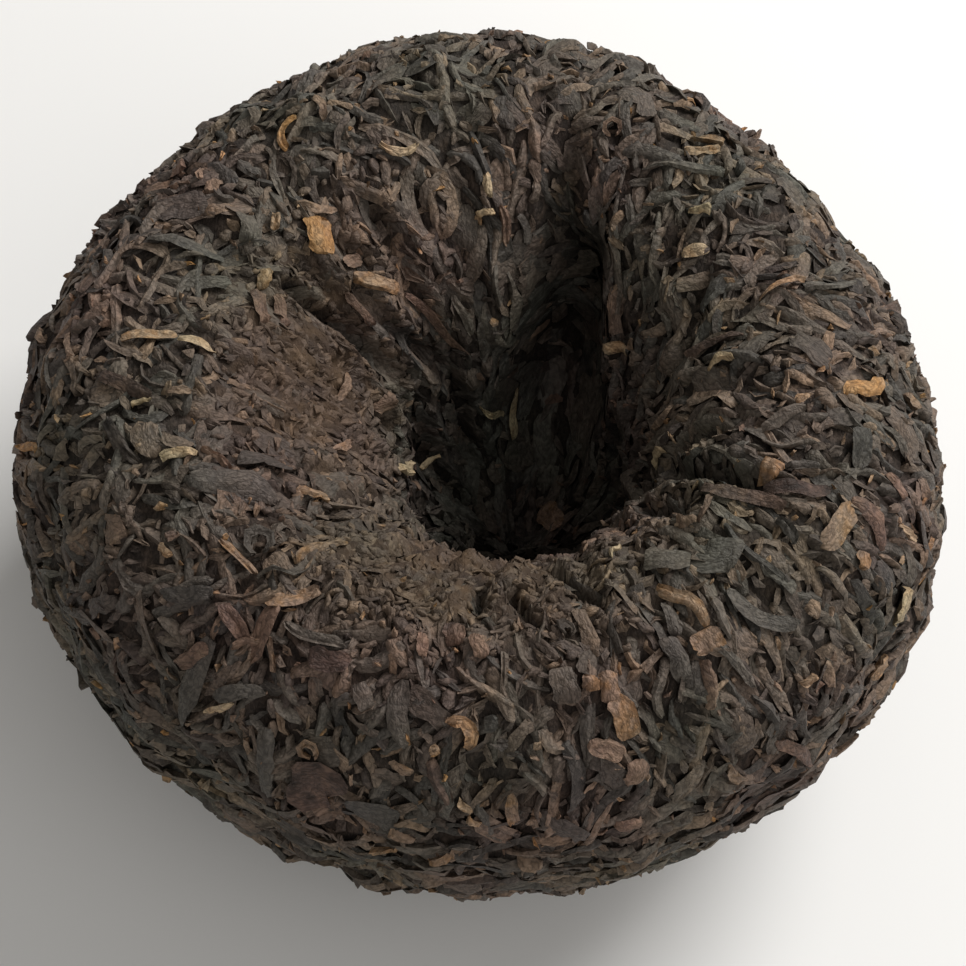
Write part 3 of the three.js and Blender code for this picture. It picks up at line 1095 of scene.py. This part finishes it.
# %% Name the pale landmarks
UMBER, PURPLE, RED, BROWN, PINK = 0.06, 0.12, 0.22, 0.28, 0.36
TAN, AMBER, STRAW, GOLD, PALE = 0.45, 0.53, 0.6, 0.75, 1.0
PALE_LANDMARKS = {
    "golden_flake": (GOLD, 26, 0, (318, 212), (324, 251)),
    "orange_flake": (AMBER, 14, 10, (359, 275), (404, 289)),
    "golden_curl": (GOLD, 9, -130, (291, 116), (284, 146)),
    "tan_curl": (PINK, 8, 90, (316, 94), (323, 115)),
    "pale_curl": (PALE, 8, -100, (386, 145), (418, 144)),
    "strip_by_the_flake": (TAN, 10, 0, (300, 201), (334, 206)),
    "tan_stem_left": (STRAW, 11, 10, (122, 336), (178, 330)),
    "yellow_stem_left": (PALE, 12, 10, (176, 333), (218, 348)),
    "curved_tip_left": (PALE, 9, 40, (158, 456), (192, 451)),
    "tan_stick_left": (STRAW, 9, 0, (302, 485), (330, 502)),
    "fork_leaf": (TAN, 14, 20, (322, 592), (273, 604)),
    "fork_stem": (BROWN, 18, -20, (275, 604), (243, 664)),
    "fork_tip": (TAN, 7, 0, (267, 636), (272, 672)),
    "fork_prong": (PINK, 8, 0, (262, 640), (228, 650)),
    "red_patch_left": (BROWN, 14, 0, (257, 288), (269, 320)),
    "red_patch_beside_it": (BROWN, 12, 0, (274, 294), (288, 324)),
    "purple_strip_by_the_flake": (RED, 9, 0, (347, 297), (377, 327)),
    "strip_into_the_pit": (RED, 8, 0, (407, 297), (463, 357)),
    "tan_strip_low_left": (PALE, 8, 0, (204, 715), (229, 704)),
    "orange_curl": (AMBER, 12, 200, (456, 724), (474, 746)),
    "pink_curl": (TAN, 12, 60, (388, 764), (411, 778)),
    "tan_leaf_top": (TAN, 17, 0, (607, 670), (617, 706)),
    "tan_leaf_end": (AMBER, 22, 10, (615, 700), (634, 742)),
    "pink_bud": (TAN, 14, 0, (590, 671), (594, 690)),
    "brown_leaf": (PINK, 18, 0, (592, 744), (625, 760)),
    "tan_bit_front": (TAN, 11, 0, (510, 798), (510, 827)),
    "cream_crumb": (STRAW, 10, 0, (434, 748), (435, 761)),
    "front_stick": (STRAW, 6, 0, (463, 800), (474, 814)),
    "low_stick_left": (STRAW, 7, 0, (370, 852), (396, 852)),
    "low_stick_middle": (TAN, 8, 0, (425, 863), (452, 857)),
    "golden_strip": (STRAW, 11, 25, (654, 580), (707, 621)),
    "pink_torn_leaf": (TAN, 26, 0, (697, 627), (712, 652)),
    "brown_torn_leaf": (PINK, 20, 0, (640, 763), (634, 790)),
    "golden_flake_right": (GOLD, 15, 0, (850, 391), (886, 383)),
    "golden_lump_right": (AMBER, 20, 0, (757, 464), (780, 468)),
    "brown_curve_right": (UMBER, 13, -50, (765, 484), (835, 484)),
    "red_strip_right": (PURPLE, 12, 20, (700, 484), (786, 503)),
    "olive_leaf_right": (TAN, 22, 0, (856, 500), (829, 550)),
    "tan_stick_right": (BROWN, 13, 0, (890, 470), (909, 496)),
    "brown_strip_right": (RED, 15, 20, (863, 497), (891, 552)),
    "pale_stick_edge": (PALE, 15, 0, (913, 588), (898, 627)),
    "tan_stick_edge": (STRAW, 14, 0, (888, 658), (873, 679)),
    "tan_crumb_right": (TAN, 13, 0, (864, 550), (864, 567)),
    "orange_strip_back": (STRAW, 9, 0, (691, 135), (723, 142)),
    "tan_strip_back": (STRAW, 8, 0, (684, 149), (719, 148)),
    "pink_flake_back": (PALE, 13, 0, (678, 257), (702, 243)),
    "pale_stick_back": (STRAW, 7, 45, (758, 288), (805, 275)),
    "grey_strip_back": (PALE, 9, 0, (684, 210), (707, 208)),
    "pale_strip_back": (PALE, 9, 0, (490, 170), (493, 195)),
    "brown_strip_back": (BROWN, 11, 0, (503, 205), (514, 250)),
    # Painted light: these leaves in the hollow get paler tints than their own colour, to stand for light
    # reaching them.
    "golden_bit_by_the_pit": (PALE, 12, 0, (613, 349), (627, 352)),
    "stem_in_the_pit": (PALE, 6, 0, (519, 392), (517, 441)),
    "strip_in_the_pit": (PALE, 4, 0, (484, 412), (507, 418)),
    "leaf_in_the_pit": (TAN, 26, 0, (540, 508), (556, 528)),
    "purple_leaf": (PURPLE, 46, 0, (291, 772), (341, 798)),
    "ring_left": (TAN, 6, 330, (307, 754), (311, 754)),
    "ring_back": (PINK, 5, 330, (608, 128), (612, 128)),
    "brown_bit_by_the_pit": (BROWN, 13, 0, (378, 410), (398, 399)),
    "ochre_bit_left": (TAN, 9, 0, (352, 372), (345, 398)),
    "ochre_tip_left": (TAN, 8, 0, (340, 446), (354, 440)),
    # Painted light: these bits by the hollow get paler tints than their own colour, to stand for light
    # reaching them.
    "tan_bit_by_the_pit": (PALE, 11, 0, (404, 471), (415, 463)),
    "orange_bit_by_the_pit": (PALE, 7, 0, (424, 466), (440, 459)),
    "pale_stick_by_the_pit": (PALE, 4, 0, (660, 451), (650, 467)),
    "pale_stick_on_the_lip": (PALE, 4, 0, (622, 542), (612, 554)),
    "pink_strip_right": (RED, 6, 0, (711, 490), (698, 518)),
    "orange_bit_right": (PINK, 7, 0, (672, 522), (696, 517)),
    "tan_bit_edge": (PALE, 6, 0, (904, 526), (914, 542)),
    "pink_bit_edge": (TAN, 9, 0, (908, 394), (918, 408)),
    "tan_stick_back_right": (PALE, 7, 0, (703, 370), (730, 355)),
    "tan_stick_far_left": (PALE, 6, 0, (130, 404), (148, 397)),
    "orange_stick_left": (STRAW, 10, 0, (266, 264), (268, 289)),
    "pale_bit_back": (PALE, 6, 0, (474, 218), (492, 213)),
    "low_stick_front": (STRAW, 6, 0, (468, 822), (482, 827)),
    "low_strip_left": (TAN, 6, 0, (390, 835), (418, 843)),
    "brown_bit_low_right": (RED, 12, 0, (780, 742), (812, 758)),
    "brown_bit_front_right": (TAN, 11, 0, (732, 770), (745, 790)),
    "red_bit_edge": (BROWN, 12, 0, (168, 172), (182, 166)),
    "grey_pink_stick": (TAN, 8, 0, (229, 541), (257, 573)),
    "tan_strip_left": (TAN, 9, 0, (296, 556), (346, 536)),
    "red_strip_left": (RED, 15, 0, (226, 598), (238, 645)),
    "brown_leaf_left": (BROWN, 14, 0, (176, 668), (205, 645)),
    "tan_bit_left": (RED, 9, 0, (163, 540), (176, 533)),
    "straw_bit_left": (STRAW, 8, 0, (158, 548), (168, 556)),
    "red_petal": (RED, 18, 0, (451, 620), (451, 643)),
    "olive_flake": (PINK, 13, 0, (477, 630), (478, 656)),
    "pink_bit_on_the_lip": (PINK, 10, 0, (426, 632), (426, 655)),
    "brown_knob_left": (PINK, 12, 0, (347, 258), (360, 260)),
    "stick_by_the_golden_flake": (STRAW, 8, 0, (277, 210), (278, 228)),
    "brown_curve_left": (PINK, 8, 30, (204, 445), (234, 464)),
    "purple_strip_left": (PURPLE, 12, 0, (92, 372), (150, 392)),
    "pink_bit_left": (PINK, 9, 0, (162, 385), (193, 390)),
    "orange_bit_far_left": (GOLD, 9, 0, (25, 441), (33, 455)),
    "dark_flake_by_the_fork": (PURPLE, 20, 0, (305, 655), (345, 665)),
    "brown_strip_low": (PURPLE, 14, 0, (428, 762), (446, 806)),
    "brown_strip_front_right": (BROWN, 10, 0, (708, 662), (715, 712)),
    "straw_bit_right": (STRAW, 8, 0, (803, 684), (818, 676)),
    "olive_bit_low": (PINK, 13, 0, (618, 828), (645, 822)),
    "purple_strip_back_right": (PURPLE, 8, 0, (684, 354), (742, 330)),
    "straw_bit_back_right": (STRAW, 8, 0, (797, 398), (811, 392)),
}
print(len(PALE_LANDMARKS), "pale landmarks")

# %% [markdown]
# Larger grey leaves also show by their form: a flat one on the left, long strips on the right, two
# dark rings. They wear the colours of the strips, so they make a piece of their own.

# %% Name the grey landmarks
DARK, DULL, GREY, LIGHT = 0.17, 0.36, 0.5, 0.65
GREY_LANDMARKS = {
    "flat_leaf_left": (DARK, 26, 0, (236, 455), (287, 461)),
    "front_leaf": (GREY, 20, 0, (400, 676), (398, 746)),
    "low_leaf_left": (DULL, 15, 0, (261, 733), (262, 800)),
    "long_leaf_left": (DULL, 22, 0, (208, 640), (176, 722)),
    "level_strip_left": (DARK, 15, 0, (160, 594), (211, 594)),
    "dark_ring_left": (DARK, 8, 330, (256, 543), (260, 543)),
    "thin_strip_left": (DULL, 5, 0, (254, 573), (314, 562)),
    "leaf_on_the_lip": (GREY, 24, 0, (644, 556), (690, 556)),
    "broad_leaf_on_the_lip": (DULL, 34, 0, (690, 550), (742, 552)),
    "leaf_by_the_pit": (LIGHT, 14, 0, (622, 478), (628, 502)),
    "long_strip_right": (DULL, 14, 0, (725, 590), (800, 630)),
    "short_strip_right": (LIGHT, 10, 0, (712, 595), (735, 637)),
    "strip_by_the_golden_one": (DULL, 12, 0, (665, 598), (677, 632)),
    "edge_leaf_right": (DARK, 20, 0, (863, 427), (863, 470)),
    "curl_right": (DARK, 8, 60, (775, 516), (793, 540)),
    "thin_strip_right": (LIGHT, 6, 0, (760, 440), (820, 441)),
    "thin_strip_below_it": (DULL, 6, 0, (786, 462), (822, 466)),
    "dark_ring_on_the_lip": (DARK, 8, 330, (567, 627), (571, 627)),
    "long_strip_far_left": (DULL, 14, 0, (150, 231), (228, 250)),
    "leaf_left_of_the_flake": (GREY, 17, 0, (246, 206), (254, 238)),
    "long_leaf_on_the_slope": (DULL, 21, 20, (190, 468), (284, 498)),
    "strip_by_the_fork": (GREY, 10, 0, (281, 622), (342, 645)),
    "level_strip_low_left": (DULL, 14, 0, (208, 690), (258, 697)),
    "flake_at_the_front": (LIGHT, 16, 0, (356, 684), (366, 714)),
    "dark_leaf_low": (DARK, 30, 0, (345, 806), (402, 824)),
    "pale_flake_at_the_front": (LIGHT, 24, 0, (556, 668), (566, 708)),
    "strip_front_right": (DULL, 17, 0, (668, 632), (688, 680)),
    "slanting_strip_right": (GREY, 9, 0, (716, 640), (760, 690)),
    "long_strip_back_right": (GREY, 9, 10, (641, 160), (728, 166)),
    "strip_by_the_pale_stick": (GREY, 9, 0, (806, 286), (852, 282)),
    "rising_strip_right": (LIGHT, 8, 0, (760, 424), (806, 407)),
}
print(len(GREY_LANDMARKS), "grey landmarks")

# %% [markdown]
# The two pixels of a landmark give its place, direction and length on the nest. A picture of it
# could be painted there, but a leaf that is laid like the others has an edge and a shadow of its
# own from every side.

# %% Lay the landmarks
PIXELS_PER_MM = FOCAL_PIXELS / DISTANCE


def between_pixels(start, end):
    """Place, direction and length on the nest of what lies between two pixels of the photo."""
    share, angle = place_at((start[0] + end[0]) / 2, (start[1] + end[1]) / 2)
    share_start, angle_start = place_at(*start)
    share_end, angle_end = place_at(*end)
    along = (share_end - share_start) * SECTION_LENGTH
    around = math.radians(apart(angle_end, math.degrees(angle_start))) * radius_at(share)
    return share, angle, math.atan2(around, along), math.hypot(along, around)


def lay_landmarks(name, material, marks):
    """One leaf for each mark, on top of the others. A bent leaf is longer than the way between its ends."""
    places = [between_pixels(start, end) for *_, start, end in marks.values()]
    share, angle, direction, chord = np.transpose(places)
    tint, width, bend = np.transpose([mark[:3] for mark in marks.values()])
    bend = np.radians(bend)
    lay_leaves(
        name,
        material,
        (share, angle),
        direction,
        length=chord / np.sinc(bend / 2 / np.pi),
        breadth=width / PIXELS_PER_MM,
        thickness=(0.5, 0.7),
        level=(0.34, 0.48),
        bend=bend,
        round_edge=(-0.3, 0.5),
        lifted=0,
        rings=9,
        tint=tint,
        sunk=0.1,
        painted_shade=0,
        ragged=0.5,
    )


lay_landmarks("landmark_leaves", pale_material, PALE_LANDMARKS)
lay_landmarks("grey_landmarks", strip_material, GREY_LANDMARKS)

# %% [markdown]
# The nest lies on a plain pale floor, which is only stage and not part of the object. A curved
# backdrop could be used too, but seen from above one large square is enough, and its edges are far
# from the nest.

# %% Lay the floor
FLOOR_HALF = 3.0  # metres
FLOOR_COLOUR = (0.8, 0.79, 0.77, 1)
FLOOR_ROUGHNESS = 0.8
floor_mesh = bpy.data.meshes.new("floor")
floor_corners = [(FLOOR_HALF * x, FLOOR_HALF * y, 0) for x, y in ((-1, -1), (1, -1), (1, 1), (-1, 1))]
floor_mesh.from_pydata(floor_corners, [], [(0, 1, 2, 3)])
floor = bpy.data.objects.new("floor", floor_mesh)
bpy.context.scene.collection.objects.link(floor)
floor_material = bpy.data.materials.new("pale_floor")
floor_material.use_nodes = True
floor_shader = floor_material.node_tree.nodes["Principled BSDF"]
floor_shader.inputs["Base Color"].default_value = FLOOR_COLOUR
floor_shader.inputs["Roughness"].default_value = FLOOR_ROUGHNESS
floor_mesh.materials.append(floor_material)
print("floor", 2 * FLOOR_HALF, "m wide")

# %% [markdown]
# On the photo the light comes from a window above, behind and to the right, and the room fills the
# shadows. A picture of a room could light the nest, but plain lights are easier to steer. A large
# area light stands for the window, a weak one in front for the room, and a pale world for the rest.

# %% Set the light
WORLD_COLOUR = (1, 0.98, 0.95, 1)
WORLD_STRENGTH = 0.325


def area_light(name, position, size, power):
    """A square light in metres and watts that faces the nest."""
    data = bpy.data.lights.new(name, "AREA")
    data.size = size
    data.energy = power
    light = bpy.data.objects.new(name, data)
    bpy.context.scene.collection.objects.link(light)
    light.location = position
    light.rotation_euler = light.location.to_track_quat("Z", "Y").to_euler()
    print(name, "of", power, "W")


area_light("window", position=(0.4, 0.34, 0.5), size=0.4, power=6.1)
area_light("front_fill", position=(0.36, -0.42, 0.56), size=0.6, power=1.22)
world = bpy.data.worlds.new("studio")
bpy.context.scene.world = world
world.use_nodes = True
background = world.node_tree.nodes["Background"]
background.inputs["Color"].default_value = WORLD_COLOUR
background.inputs["Strength"].default_value = WORLD_STRENGTH
bpy.context.scene.view_settings.view_transform = "Standard"
